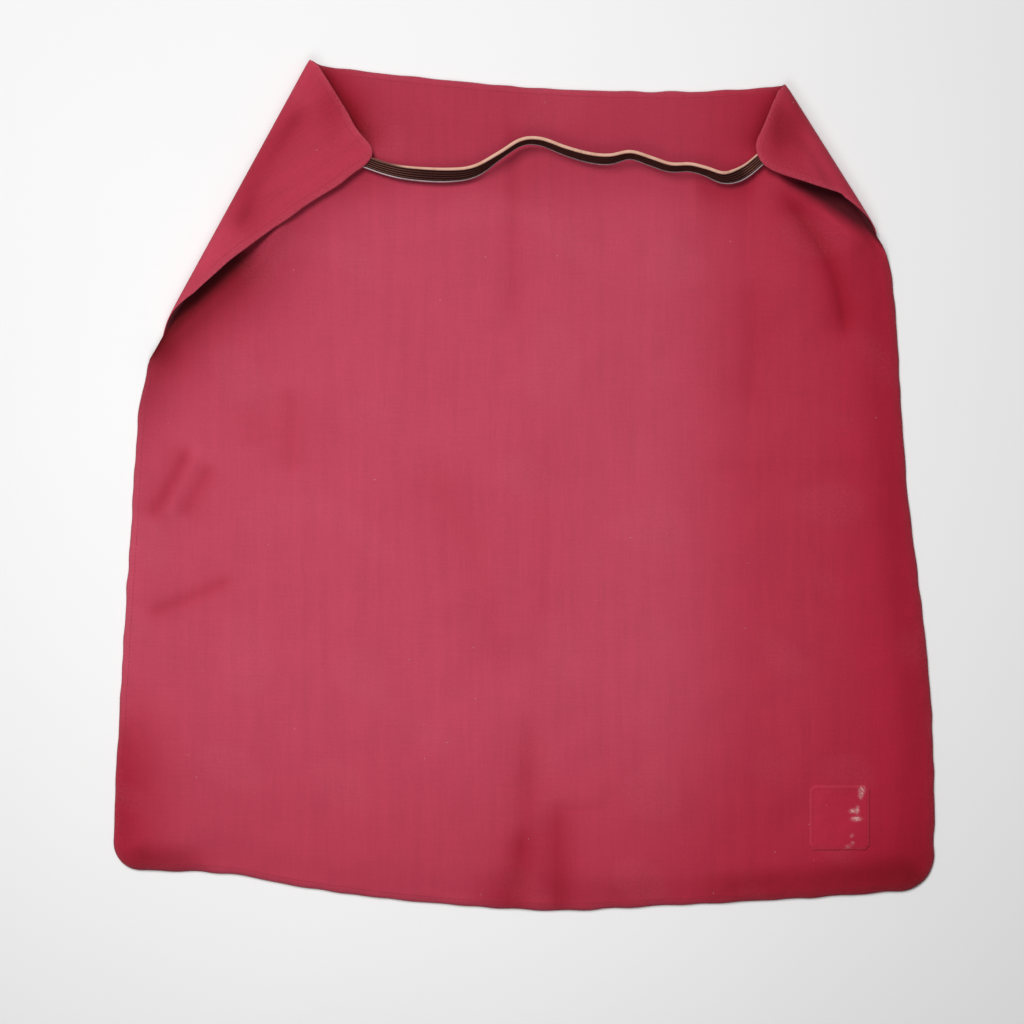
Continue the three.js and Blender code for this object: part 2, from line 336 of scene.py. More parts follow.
class Shader:
    """A small helper that adds nodes to a new material around its Principled shader."""

    def __init__(self, name, roughness=0.85, sheen=0.0, sheen_tint=(1, 1, 1, 1)):
        self.material = bpy.data.materials.new(name)
        self.material.use_nodes = True
        self.tree = self.material.node_tree
        self.surface = self.tree.nodes["Principled BSDF"]
        self.surface.inputs["Roughness"].default_value = roughness
        self.surface.inputs["Sheen Weight"].default_value = sheen
        self.surface.inputs["Sheen Roughness"].default_value = 0.45
        self.surface.inputs["Sheen Tint"].default_value = sheen_tint
        self.surface.inputs["Specular IOR Level"].default_value = 0.2

    def node(self, kind, **settings):
        node = self.tree.nodes.new(kind)
        for key, value in settings.items():
            setattr(node, key, value)
        return node

    def link(self, source, target):
        self.tree.links.new(source, target)

    def attribute(self, name, vector=False):
        node = self.node("ShaderNodeAttribute", attribute_name=name)
        return node.outputs["Vector" if vector else "Fac"]

    def cut_place(self):
        """The place on the flat piece, whole and as its first and second number."""
        flat = self.attribute("flat", vector=True)
        split = self.node("ShaderNodeSeparateXYZ")
        self.link(flat, split.inputs[0])
        return flat, split.outputs[0], split.outputs[1]

    def object_place(self):
        return self.node("ShaderNodeTexCoord").outputs["Object"]

    def feed(self, socket, value):
        """Set a socket to a colour or a number, or link it to an output."""
        if isinstance(value, tuple):
            socket.default_value = (*value, 1.0)
        elif isinstance(value, (int, float)):
            socket.default_value = value
        else:
            self.link(value, socket)

    def math(self, operation, a, b=0.0):
        node = self.node("ShaderNodeMath", operation=operation)
        self.feed(node.inputs[0], a)
        self.feed(node.inputs[1], b)
        return node.outputs[0]

    def plus(self, a, b):
        return self.math("ADD", a, b)

    def times(self, a, b):
        return self.math("MULTIPLY", a, b)

    def wave(self, place, pitch):
        """A sine wave that repeats at every pitch."""
        return self.math("SINE", self.times(place, 2 * math.pi / pitch))

    def scaled(self, vector, scale):
        node = self.node("ShaderNodeVectorMath", operation="MULTIPLY")
        self.link(vector, node.inputs[0])
        node.inputs[1].default_value = scale
        return node.outputs[0]

    def scaled_by(self, vector, value):
        node = self.node("ShaderNodeVectorMath", operation="SCALE")
        self.link(vector, node.inputs[0])
        self.link(value, node.inputs["Scale"])
        return node.outputs[0]

    def noise(self, vector, scale, detail=2.0, roughness=0.5):
        node = self.node("ShaderNodeTexNoise", noise_dimensions="3D")
        self.link(self.scaled(vector, (scale, scale, scale) if isinstance(scale, float) else scale),
                  node.inputs["Vector"])
        node.inputs["Scale"].default_value = 1.0
        node.inputs["Detail"].default_value = detail
        node.inputs["Roughness"].default_value = roughness
        return node.outputs["Fac"]

    def mix(self, share, a, b):
        node = self.node("ShaderNodeMix", data_type="RGBA")
        for index, value in ((0, share), (6, a), (7, b)):
            self.feed(node.inputs[index], value)
        return node.outputs[2]

    def ramp(self, value, low, high):
        """0 below low and 1 above high."""
        node = self.node("ShaderNodeMapRange", clamp=True)
        self.link(value, node.inputs["Value"])
        node.inputs["From Min"].default_value = low
        node.inputs["From Max"].default_value = high
        return node.outputs["Result"]

    def bump(self, height, distance_mm, strength):
        node = self.node("ShaderNodeBump")
        node.inputs["Strength"].default_value = strength
        node.inputs["Distance"].default_value = distance_mm * MM
        self.link(height, node.inputs["Height"])
        self.link(node.outputs["Normal"], self.surface.inputs["Normal"])

    def colour(self, value):
        self.link(value, self.surface.inputs["Base Color"])

    def roughness(self, value):
        self.link(value, self.surface.inputs["Roughness"])


THREAD_PITCH = 0.62  # of the plain weave
RIB_PITCH = 2.4  # across the elastic
PICK_PITCH = 0.7  # of the elastic's cross threads, along it
KNIT_PITCH = 1.1  # of the edging's stitches


def cloth_material(name, pale, inner):
    """Plain-weave cloth, from each point's place on the flat piece, its dye with painted shade, its wear,
    and its shade, which mixes in painted shade towards the inner colour.
    """
    shader = Shader(name, sheen=0.06, sheen_tint=(1.0, 0.6, 0.66, 1.0))
    flat, along, across = shader.cut_place()
    drift = shader.times(shader.noise(flat, 0.35), 3.0)
    warp = shader.wave(shader.plus(along, drift), THREAD_PITCH)
    weft = shader.wave(shader.plus(across, drift), THREAD_PITCH)
    weave = shader.times(warp, weft)
    warp_slub = shader.noise(flat, (0.9, 0.035, 1.0), 3.0, 0.6)
    weft_slub = shader.noise(flat, (0.03, 0.8, 1.0), 3.0, 0.6)
    slub = shader.times(shader.plus(warp_slub, weft_slub), 0.5)
    mottle = shader.noise(flat, 0.016, 3.0, 0.55)
    fleck = shader.noise(flat, 0.5, 4.0, 0.7)
    streak = shader.noise(flat, (0.11, 0.006, 1.0), 3.0, 0.6)
    tone = shader.plus(shader.times(shader.ramp(slub, 0.34, 0.66), 0.11),
                       shader.times(shader.ramp(mottle, 0.3, 0.7), 0.05))
    tone = shader.plus(tone, shader.times(shader.ramp(streak, 0.3, 0.7), 0.07))
    body = shader.scaled_by(shader.attribute("dye", vector=True), shader.plus(tone, 0.885))
    worn = shader.times(shader.attribute("wear"), shader.ramp(fleck, 0.35, 0.75))
    body = shader.mix(worn, body, pale)
    specks = shader.node("ShaderNodeTexVoronoi", feature="F1")
    shader.link(shader.scaled(flat, (0.045, 0.045, 0.045)), specks.inputs["Vector"])
    specks.inputs["Scale"].default_value = 1.0
    lint = shader.times(shader.math("LESS_THAN", specks.outputs["Distance"], 0.022), 0.3)
    body = shader.mix(lint, body, LINT)
    # Painted shade: the shade attribute darkens the cloth towards the inner colour deep in the folds.
    shader.colour(shader.mix(shader.attribute("shade"), body, inner))
    shader.roughness(shader.plus(shader.times(slub, 0.3), 0.66))
    height = shader.plus(shader.times(weave, 0.25), shader.times(slub, 1.6))
    shader.bump(height, 0.28, 0.8)
    return shader.material


def elastic_material(name, colour, rib_colour, bright_rib):
    """Elastic with ribs along it, whose colour turns lighter towards the strap's ends, a painted highlight.
    """
    shader = Shader(name, roughness=0.85)
    flat, along, across = shader.cut_place()
    ribs = shader.wave(across, RIB_PITCH)
    picks = shader.wave(along, PICK_PITCH)
    fuzz = shader.noise(flat, 1.3, 3.0, 0.6)
    crest = shader.times(shader.ramp(ribs, 0.1, 0.95), shader.ramp(fuzz, 0.25, 0.6))
    # Painted highlight: the ribs are lighter towards both ends of the strap.
    lit = shader.mix(shader.attribute("bright"), rib_colour, bright_rib)
    shader.colour(shader.mix(crest, colour, lit))
    height = shader.plus(shader.times(picks, 0.5), shader.times(fuzz, 1.2))
    shader.bump(height, 0.18, 0.8)
    return shader.material


def edging_material(name, colour, dark, left_end_colour):
    """Knitted edging with a slanted stitch along it. Its colour turns to another towards the strap's left
    end.
    """
    shader = Shader(name, roughness=0.62, sheen=0.2)
    flat, along, across = shader.cut_place()
    stitch = shader.wave(shader.plus(along, shader.times(across, 0.6)), KNIT_PITCH)
    stain = shader.noise(flat, 0.09, 3.0, 0.6)
    shade = shader.plus(shader.times(shader.ramp(stitch, 0.9, -0.9), 0.2),
                        shader.times(shader.ramp(stain, 0.45, 0.75), 0.5))
    clean = shader.mix(shade, colour, dark)
    shader.colour(shader.mix(shader.attribute("grime"), clean, left_end_colour))
    shader.bump(stitch, 0.16, 0.8)
    return shader.material


def strand_material(name, dark, light, roughness, noise, crests, bump):
    """Twisted or braided strands, light on their crests."""
    shader = Shader(name, roughness, sheen=0.1)
    strands = shader.noise(shader.object_place(), *noise)
    shader.colour(shader.mix(shader.ramp(strands, *crests), dark, light))
    shader.bump(strands, *bump)
    return shader.material


def floor_material():
    shader = Shader("pale_floor", roughness=0.9)
    tone = shader.noise(shader.object_place(), 3.0)
    shader.colour(shader.mix(tone, (0.92, 0.92, 0.92), (0.95, 0.95, 0.95)))
    return shader.material


# The cloth's colour runs between these two, partly by its own fading and partly as painted light: the first
# where the light is strongest, the second where it falls off.
CRIMSON_FADED_AND_LIT = np.array([0.535, 0.060, 0.108])
CRIMSON_DEEP_AND_SHADED = np.array([0.44, 0.008, 0.033])
CRIMSON_WORN = (0.66, 0.16, 0.21)
# Painted shade: the colour the cloth takes deep inside a fold, in its mouth and on its lining.
POCKET_SHADE = (0.040, 0.002, 0.004)  # deep inside a fold
LINT = (0.85, 0.62, 0.62)
cloth = cloth_material("crimson_cloth", CRIMSON_WORN, POCKET_SHADE)
patch_cloth = cloth_material("patch_cloth", (0.9, 0.68, 0.66), POCKET_SHADE)
elastic = elastic_material("ribbed_elastic", (0.019, 0.0024, 0.0016), (0.085, 0.024, 0.018),
                           (0.27, 0.105, 0.075))
cream = edging_material("cream_edging", (0.84, 0.50, 0.38), (0.58, 0.27, 0.13), (0.20, 0.07, 0.05))
grey = edging_material("grey_edging", (0.52, 0.40, 0.42), (0.22, 0.15, 0.16), (0.62, 0.48, 0.50))
thread = strand_material("crimson_thread", (0.26, 0.012, 0.03), (0.34, 0.018, 0.042), 0.6,
                         (900.0, 2.0, 0.5), (0.35, 0.65), (0.1, 0.6))
braid = strand_material("braided_sleeve", (0.03, 0.03, 0.034), (0.16, 0.16, 0.17), 0.7,
                        (700.0, 2.0, 0.4), (0.45, 0.6), (0.3, 0.8))


def dress(piece, material):
    piece.data.materials.append(material)
    return piece


# ======== deck

ARC_HALF = 10  # samples in half of a rounded hem corner


def corner_arc(start, corner, end):
    t = np.linspace(0, 1, 2 * ARC_HALF + 1)[:, None]
    start, corner, end = (np.array(p, float) for p in (start, corner, end))
    return (1 - t) ** 2 * start + 2 * t * (1 - t) * corner + t ** 2 * end


def join(*runs):
    return np.vstack([runs[0]] + [run[1:] for run in runs[1:]])


top_edge = spline(TOP_EDGE)
left_side = spline(LEFT_SIDE)
right_side = spline(RIGHT_SIDE)
bottom_edge = spline(BOTTOM_EDGE)
left_arc = corner_arc(LEFT_SIDE[0], LEFT_CORNER, BOTTOM_EDGE[0])
right_arc = corner_arc(BOTTOM_EDGE[-1], RIGHT_CORNER, RIGHT_SIDE[0])
hem_line = join(left_side[::-1], left_arc, bottom_edge, right_arc, right_side)
bottom_run = join(left_arc[ARC_HALF:], bottom_edge, right_arc[:ARC_HALF + 1])


def edge_distance(plan):
    return np.minimum(distance(plan, hem_line), distance(plan, top_edge))


def side_run(arc, hem, foot, end, count):
    """One side of a deck layer: round half its hem corner, up its hem, and along its fold."""
    return join(arc, hem, resample(np.array([foot, end]), count))


def clustered(count, pull):
    """Shares from 0 to 1, closer together near both ends."""
    t = np.linspace(0, 1, count)
    return t - pull * np.sin(2 * math.pi * t) / (2 * math.pi)


def fill(sides, rows, columns, pull=0.6):
    """A grid of plan points across the area between four curves."""
    left, right, bottom, top = sides
    v = clustered(rows, pull)[:, None, None]
    u = clustered(columns, pull)[None, :, None]
    low, high = at_share(bottom, u[0, :, 0])[None], at_share(top, u[0, :, 0])[None]
    near, far = at_share(left, v[:, 0, 0])[:, None], at_share(right, v[:, 0, 0])[:, None]
    corners = ((1 - u) * (1 - v) * bottom[0] + u * (1 - v) * bottom[-1]
               + (1 - u) * v * top[0] + u * v * top[-1])
    return (1 - v) * low + v * high + (1 - u) * near + u * far - corners


def left_crest(s):
    """Where the deck rises out of the left fold's valley, as a distance in from its axis."""
    return np.clip(40 - 0.37 * (s - 176), -8, 2 + 36 * past(s, 60, 90))


def right_crest(s):
    return np.clip(42 - 0.46 * (s - 76), -6, 2 + 38 * past(s, 28, 44))


def hem_height(d):
    return RIM_Z + HEM_RISE * dome(d / HEM_ROLL) + FIELD_RISE * smooth(d / FIELD_RUN)


# Each is a plan line, a half-width, a height (negative for a valley) and how much painted shade it holds
# (negative for a painted highlight)
CREASES = [
    ([(-12, 352), (-10, 250), (-9, 126)], 6, -1.5, 0.07),
    ([(19, 60), (17, -60), (14, -195)], 8, -1.0, 0.04),
    ([(6, -190), (2, -290), (-2, -420)], 7, -1.6, 0.12),
    ([(1, -300), (-9, -352), (-22, -440)], 8, -1.5, 0.19),
    ([(29, -278), (31, -330), (32, -440)], 9, -2.1, 0.21),
    ([(22, -290), (50, -292), (78, -290)], 5, -1.0, 0.05),
    ([(150, 17), (240, 15), (320, 18)], 5, -0.8, 0.04),
    ([(-346, -118), (-304, -102), (-256, -82)], 4, -1.8, 0.16),
    ([(-340, -34), (-318, 2), (-300, 38)], 5, -2.4, 0.20),
    ([(-324, -36), (-306, 0), (-288, 38)], 5, 2.2, -0.04),
    ([(-310, -32), (-294, -4), (-280, 22)], 5, -1.6, 0.15),
    ([(-212, 92), (-211, 50), (-208, 5)], 12, -2.0, 0.06),
    ([(-248, 80), (-244, 55), (-243, 30)], 10, -1.4, 0.04),
    ([(206, 190), (208, 125), (205, 60)], 12, -2.0, 0.07),
    ([(-96, 40), (-40, -70), (-10, -190)], 22, -1.6, 0.05),
    ([(-40, -40), (-4, -140), (6, -240)], 16, 1.6, -0.02),
    ([(226, 274), (243, 251), (262, 224), (276, 198), (285, 168), (293, 122)], 8, -3.8, 0.38),
    ([(262, 258), (282, 234), (306, 208)], 9, 2.4, -0.02),
    # The next four hold painted shadows: along the left and right flaps' inner edges, under the strap's
    # middle, and under the left flap's free edge.
    ([(-210, 415), (-182, 371), (-160, 341), (-148, 321), (-130, 296)], 8, -2.4, 0.56),
    ([(252, 397), (238, 366), (221, 331), (206, 290)], 6, -2.4, 0.52),
    ([(150, 270), (185, 262), (215, 268)], 10, -2.0, 0.15),
    ([(-348, 112), (-320, 150), (-287, 181), (-238, 218)], 11, -1.5, 0.42),
]


def deck_waves(plan, d):
    """The small heights that make the cloth look laid down by hand, zero at the hem."""
    quiet = smooth(d / 30)
    waves = 0.55 * ripple(plan, 150, 3) * quiet
    waves += 0.16 * ripple(plan, 48, 5) * quiet
    for line, width, depth, _ in CREASES:
        waves += crease(plan, line, width, depth) * smooth(d / 24)
    waves += swell(plan, (-335, -340), (110, 60), -1.6) * quiet
    waves += swell(plan, (345, -345), (150, 80), -2.4) * quiet
    waves += swell(plan, (-30, -80), (240, 210), 1.4) * quiet
    return waves


def hem_puckers(plan, d):
    """Short gathers square to the hem, where its stitching draws the cloth in."""
    strength = np.exp(-d / 9) * smooth(d / 2)
    return 0.28 * strength * ripple(plan, 17, 11)


def hem_waver(plan, d):
    """The small wander of a hem that has been sewn and handled."""
    wander = np.stack([ripple(plan, 34, 13), ripple(plan, 34, 17)], -1)
    return 0.3 * wander * np.exp(-d / 12)[..., None]


# Each is a fold, its crest, s where the painted shade in its mouth starts and where it ends, and how
# softly that painted shade gives way towards the crest
MOUTHS = ((LEFT, left_crest, 165, 305, 24), (RIGHT, right_crest, 58, 172, 13))


def deck_face(plan):
    """Middle points of the upper layer over a grid of plan points, with its wear, the painted shade in its
    fold mouths and its dye with painted shade.
    """
    d = edge_distance(plan)
    z = hem_height(d) + deck_waves(plan, d) + hem_puckers(plan, d)
    points = plan + hem_waver(plan, d)
    shade = np.zeros(z.shape)
    # In a mouth the cloth lies low, rises at the crest and swells over it. Past the axis it rolls up.
    for fold, crest, mouth, end, soft in MOUTHS:
        s, n = fold.split(plan)
        ending = 1 - past(s, end, 50)
        here = past(s, -30, 40) * ending
        edge = crest(s)
        floor_z = fold.height - FOLD_MIDDLE + ROLL_RISE
        rise = smooth((n - edge + 15) / 17)
        z = z + here * ((floor_z + (z - floor_z) * rise) - z)
        z += here * 1.6 * np.exp(-((n - edge) / 8) ** 2) * past(n, -4, 12)
        # Painted shade in the fold's mouth, below the crest.
        dark = 0.9 * past(s, mouth, 30) * ending * smooth((edge - 2 - n) / soft)
        shade = np.maximum(shade, dark)
        radius = FOLD_MIDDLE - ROLL_RISE
        angle = np.clip(-n / radius, 0, math.pi / 2)
        rolled = n < 0
        z = np.where(rolled, fold.height - radius * np.cos(angle) + (z - floor_z), z)
        shift = np.where(rolled, -n - radius * np.sin(angle), 0)
        points = points + shift[..., None] * fold.inward
    wear = 0.35 * np.exp(-d / 3.0) + 0.12 * smooth(ripple(plan, 90, 21) - 0.6)
    return raised(points, z), wear, shade, face_dye(plan)


def band(d, width, soft):
    """1 up to a width from an edge, then falling to 0."""
    return 1 - smooth((d - width + soft / 2) / soft)


# Plan lines: under the left flap's free edge, where a painted shadow falls on the deck, and a valley
# pressed across that flap, which holds painted shade
FLAP_SHADE = np.array([(-330, 140), (-262, 200), (-178, 258), (-140, 282)], float)
LEFT_VALLEY = [(-190, 348), (-212, 318), (-231, 297), (-246, 272), (-250, 249), (-256, 214)]


def face_dye(plan):
    """The upper cloth is paler over its middle and left and deeper towards its hems, partly as painted
    light, and darkened by painted shade along its hems, in its creases and under its flaps and strap.
    """
    x, y = plan[..., 0], plan[..., 1]
    below, right, left = (distance(plan, line) for line in (bottom_edge, right_side, left_side))
    # The fade is partly the cloth's own fading and partly painted light: paler over the middle and left,
    # where the light is strongest, and deeper towards the right, the bottom, the top and the lower left.
    fade = 1 - 0.55 * past(x, 110, 115) - 0.33 * past(x, 225, 120)
    fade *= 1 - (0.32 + 0.24 * past(x, -50, 200)) * past(-y, 160, 210)
    fade *= 1 - 0.22 * past(y, 215, 110)
    fade *= 1 - 0.75 * np.exp(-(left / 42) ** 2) * past(-y, 150, 120)
    # Painted shade: along the bottom and right hems, at the lower ends of the middle creases, down the
    # lower left side, near the left flap's foot and along the top band.
    along = 1 - 0.95 * past(x, -315, 45) + 0.35 * past(x, 30, 60)
    along += 0.55 * past(x, 140, 60)
    painted_shade = 0.30 * band(below, 20 + 8 * smooth(x / 100), 22) * along
    painted_shade += 0.14 * band(right, 28, 34)
    painted_shade += swell(plan, (-26, -374), (20, 22), 0.16) + swell(plan, (34, -368), (18, 26), 0.10)
    painted_shade += 0.14 * np.exp(-(left / 38) ** 2) * past(-y, 180, 90)
    painted_shade += 0.24 * np.exp(-(left / 26) ** 2) * np.exp(-((y - 95) / 65) ** 2)
    painted_shade += 0.13 * past(y, 235, 60)
    # Painted shade in the lower right corner, less a painted highlight above the bottom hem right of the
    # middle.
    painted_shade += swell(plan, (350, -345), (60, 45), 0.16) - swell(plan, (180, -315), (110, 50), 0.10)
    # Painted shadow under the left flap's free edge, wider and darker towards its foot.
    flap = distance(plan, FLAP_SHADE)
    deep = smooth((LEFT.split(plan)[0] - 90) / 130)
    painted_shade += (0.16 + 0.34 * deep) * np.exp(-(flap / (20 + 20 * deep)) ** 1.4)
    # Painted shade in the creases, which also deepens their colour; a negative amount is a painted
    # highlight on a ridge.
    pressed = sum(crease(plan, line, width * 1.4, amount, 3.0) for line, width, _, amount in CREASES)
    fade *= 1 - np.clip(2.4 * pressed, 0, 0.9)
    return dyed(fade, 1 - np.clip(painted_shade + 0.85 * pressed, 0, 0.72))


def back_dye(plan):
    """The under cloth has faded less and is deeper towards the right, with painted shade in the flaps'
    valleys and on the left flap's upper part, and painted highlights on the left flap.
    """
    x = plan[..., 0]
    fade = np.clip(0.34 - 0.0009 * x, 0, 1) + 0.40 * past(x, 180, 20)
    # Darker towards the right, and painted shade on the left flap's upper part.
    painted_shade = 0.08 * past(x, 100, 100) + swell(plan, (-172, 336), (15, 26), 0.20)
    # Painted shade along the valley across the left flap.
    painted_shade += crease(plan, LEFT_VALLEY, 13, 0.32, 6.0)
    # Two painted highlights on the left flap.
    painted_shade -= swell(plan, (-170, 315), (26, 20), 0.04) + swell(plan, (-280, 205), (18, 30), 0.06)
    # Painted shade in the right flap's valley.
    painted_shade += swell(plan, (230, 318), (13, 26), 0.32) + swell(plan, (246, 326), (9, 40), 0.12)
    return dyed(fade * (1 - np.clip(1.2 * painted_shade, 0, 0.8)), 1 - painted_shade)


def dyed(fade, tone):
    # A tone below 1 is painted shade: it darkens the colour, and green and blue more than red.
    colour = CRIMSON_DEEP_AND_SHADED + fade[..., None] * (CRIMSON_FADED_AND_LIT - CRIMSON_DEEP_AND_SHADED)
    return colour * np.stack([tone, tone ** 2.4, tone ** 1.9], -1)


def flat_place(plan):
    return raised(plan, np.zeros(plan.shape[:-1]))


def build_deck():
    left_half, right_half = left_arc[ARC_HALF::-1], right_arc[ARC_HALF:]
    left_run = side_run(left_half, left_side, left_side[-1], top_edge[0], 90)
    right_run = side_run(right_half, right_side, right_side[-1], top_edge[-1], 60)
    plan = fill((left_run, right_run, bottom_run, top_edge), *FACE_GRID)
    points, wear, shade, dye = deck_face(plan)
    face = cloth_shell("deck_face_cloth", points, CLOTH, flat=flat_place(plan), wear=wear, shade=shade,
                       dye=dye)
    dress(face, cloth)
    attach(face, "deck")
    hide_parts("deck_face_panel")

    left_end, left_foot = (LEFT.spot(s, BACK_START) for s in (-4, 322))
    right_end, right_foot = (RIGHT.spot(s, BACK_START) for s in (-6, 192))
    left_hem = left_side[left_side[:, 1] < left_foot[1]]
    right_hem = right_side[right_side[:, 1] < right_foot[1]]
    left_run = side_run(left_half, left_hem, left_foot, left_end, 40)
    right_run = side_run(right_half, right_hem, right_foot, right_end, 40)
    inner_top = top_edge[(top_edge[:, 0] > left_end[0] + 4) & (top_edge[:, 0] < right_end[0] - 4)]
    top_run = np.vstack([left_end, inner_top, right_end])
    plan = fill((left_run, right_run, bottom_run, top_run), *BACK_GRID)
    d = edge_distance(plan)
    z = np.full(d.shape, CLOTH / 2 + FLOOR_CLEARANCE)
    wear = 0.35 * np.exp(-d / 3.0) + 0.1 * smooth(ripple(plan, 70, 22) - 0.4)
    back = cloth_shell("deck_back_cloth", raised(plan, z), CLOTH, flat=flat_place(plan), wear=wear,
                       shade=np.zeros(z.shape), dye=back_dye(plan))
    dress(back, cloth)
    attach(back, "deck")
    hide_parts("deck_back_panel")
    return face


# ======== folded corners

def opening(margin, rise=ROLL_RISE):
    """Half the space between two folded layers, which closes up towards a hem."""
    return PINCH + (rise - PINCH) * dome(margin / EDGE_RUN)


class Corner:
    """The shape of one folded corner. u runs down the fold from 0 to 1."""

    def __init__(self, side, fold, tip, top_ends, foot_ends, sag, waves):
        self.side = side
        self.fold = fold
        self.top_ends = top_ends  # s of the waist edge at the roll's bottom, middle and top
        self.foot_ends = foot_ends  # s of the side edge there
        start, end = (tuple(fold.spot(ends[2], 0)) for ends in (top_ends, foot_ends))
        self.edge = spline([start] + tip + [end], 1.0)
        self.sag = sag
        self.waves = waves

    def roll(self, u, turn):
        """s on the roll, where turn goes from 0 at the bottom to 1 at the top."""
        ends = [np.interp(turn, (0, 0.5, 1), run) for run in (self.top_ends, self.foot_ends)]
        return ends[0] + (ends[1] - ends[0]) * u

    def roll_margin(self, u):
        """Distance to the nearer hem on the roll. The side's hem meets it at a slant."""
        span = self.foot_ends[2] - self.top_ends[2]
        return np.minimum(u * span, (1 - u) * span * 0.42)

    def flap(self, u, v):
        """Plan points on the flap, where v goes from 0 at the roll to 1 at the free edge."""
        base = self.fold.plan(self.roll(u, np.ones_like(u)), np.zeros_like(u))
        rim = at_share(self.edge, u.ravel()).reshape(*u.shape, 2)
        return base + v[..., None] * (rim - base)

    def mid_height(self, plan):
        s, n = self.fold.split(plan)
        return self.fold.height + FOLD_MIDDLE + self.sag(s, n) + self.waves(plan)

    def layer(self, sign, rows_deck, arc_from):
        """One layer's middle points, places on the flat cloth and distances to its hem.

        sign is 1 for the outer cloth and -1 for the inner. Only the outer has rows on the deck."""
        fold = self.fold
        u_line = clustered(CORNER_COLUMNS, 0.75)
        arc_length = math.pi * FOLD_MIDDLE
        runs = []
        if rows_deck:
            u, n = np.meshgrid(u_line, np.linspace(CORNER_START, 0, rows_deck, endpoint=False))
            s = self.roll(u, np.zeros_like(u))
            margin = self.roll_margin(u)
            points = raised(fold.plan(s, n), fold.height - FOLD_MIDDLE - sign * opening(margin))
            runs.append((points, fold.plan(s, n), margin))
        u, turn = np.meshgrid(u_line, np.linspace(arc_from, 1, ROLL_ROWS))
        s = self.roll(u, turn)
        margin = self.roll_margin(u)
        tuck = 0.0 if sign > 0 else 1.0 - smooth(turn)
        radius = FOLD_MIDDLE + sign * opening(margin) - tuck
        angle = turn * math.pi
        points = raised(fold.plan(s, -radius * np.sin(angle)), fold.height - radius * np.cos(angle))
        runs.append((points, fold.plan(s, -turn * arc_length), margin))
        share = np.linspace(0, 1, FLAP_ROWS + 1)[1:]
        u, v = np.meshgrid(u_line, 1 - (1 - share) ** 1.7)  # closer together at the free edge
        plan = self.flap(u, v)
        margin = distance(plan, self.edge)
        plan += 0.6 * hem_waver(plan, margin) * v[..., None]
        s, n = fold.split(plan)
        rise = ROLL_RISE + (FLAP_RISE - ROLL_RISE) * smooth(n / 30)
        lift = smooth(n / 12)
        mid = self.mid_height(plan) * lift + (fold.height + FOLD_MIDDLE) * (1 - lift)
        points = raised(plan, mid + sign * opening(margin, rise))
        runs.append((points, fold.plan(s, -arc_length - n), margin))
        return [np.vstack(run) for run in zip(*runs)]


def left_sag(s, n):
    along_lower_edge = np.exp(-((s - 150) / 70) ** 2) * smooth(n / 30)
    return -3.4 * along_lower_edge - 0.6 * past(n, 55, 25)


def right_sag(s, n):
    return 3.0 * np.exp(-((s - 95) / 40) ** 2) * smooth(n / 14)


def left_waves(plan):
    waves = 0.3 * ripple(plan, 60, 31)
    waves += crease(plan, [(-176, 303), (-160, 300), (-143, 293)], 6, -1.2)
    waves += crease(plan, LEFT_VALLEY, 13, -4.2, 7.0)
    waves += crease(plan, [(-222, 264), (-213, 244)], 5, -1.2)
    waves += swell(plan, (-168, 314), (24, 20), 1.8)
    waves += swell(plan, (-212, 262), (16, 14), 1.4)
    return waves


def right_waves(plan):
    waves = 0.25 * ripple(plan, 45, 33)
    waves += crease(plan, [(238, 345), (228, 318), (232, 292)], 8, -1.8)
    waves += swell(plan, (262, 284), (18, 14), 1.4)
    return waves


def inner_shade(points, fold):
    """Painted shade on the lining, darkest deep inside the fold."""
    _, n = fold.split(points[..., :2])
    return 0.85 * (1 - past(n, 2, 34))


def build_corner(corner):
    side, fold = corner.side, corner.fold
    tilt = math.radians(15)
    way = np.array([math.sin(tilt), math.cos(tilt)])  # a way in from the axis, and up
    ends = [fold.point(0, way[0] * reach, way[1] * reach) for reach in (4.0, 17.0)]
    for layer, sign, rows_deck, arc_from in (("outer", 1, 5, 0.0), ("inner", -1, 0, 1 / 3)):
        points, flat, margin = corner.layer(sign, rows_deck, arc_from)
        wear = 0.45 * np.exp(-margin / 2.5) + 0.05
        shade = np.zeros(margin.shape) if sign > 0 else inner_shade(points, fold)
        cloth_piece = cloth_shell(f"{side}_corner_{layer}_cloth", points, CLOTH, flat=flat_place(flat),
                                  wear=wear, shade=shade, dye=back_dye(points[..., :2]))
        dress(cloth_piece, cloth)
        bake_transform(cloth_piece)
        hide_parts(f"{side}_flap_{layer}_layer", f"{side}_fold_{layer}_roll")
        run, depth = fold.split(flat)


# ======== strap

def strap_frames(low, high, count):
    """Middle points, and the ways across and through the tape, between two shares of the strap's route."""
    route = spline(STRAP_ROUTE, ROUTE_SPACING)
    weights = np.hanning(2 * ROUTE_SOFTENING + 1)
    for column in route.T:
        column[ROUTE_SOFTENING:-ROUTE_SOFTENING] = np.convolve(column, weights / weights.sum(), "valid")
    share = np.linspace(low, high, count)
    here = at_share(route, share)
    nearby = 0.002
    step = at_share(route, np.minimum(share + nearby, 1)) - at_share(route, np.maximum(share - nearby, 0))
    heading = step[:, :2] / np.linalg.norm(step[:, :2], axis=1, keepdims=True)
    lean = np.radians(here[:, 2])
    zero = np.zeros(count)
    forward = np.stack([heading[:, 0], heading[:, 1], zero], -1)
    across = np.stack([-heading[:, 1] * np.cos(lean), heading[:, 0] * np.cos(lean), np.sin(lean)], -1)
    through = np.cross(forward, across)
    upper = np.stack([here[:, 0], here[:, 1], STRAP_BASE_Z + STRAP_WIDTH * np.sin(lean)], -1)
    return upper - across * STRAP_WIDTH / 2, across, through


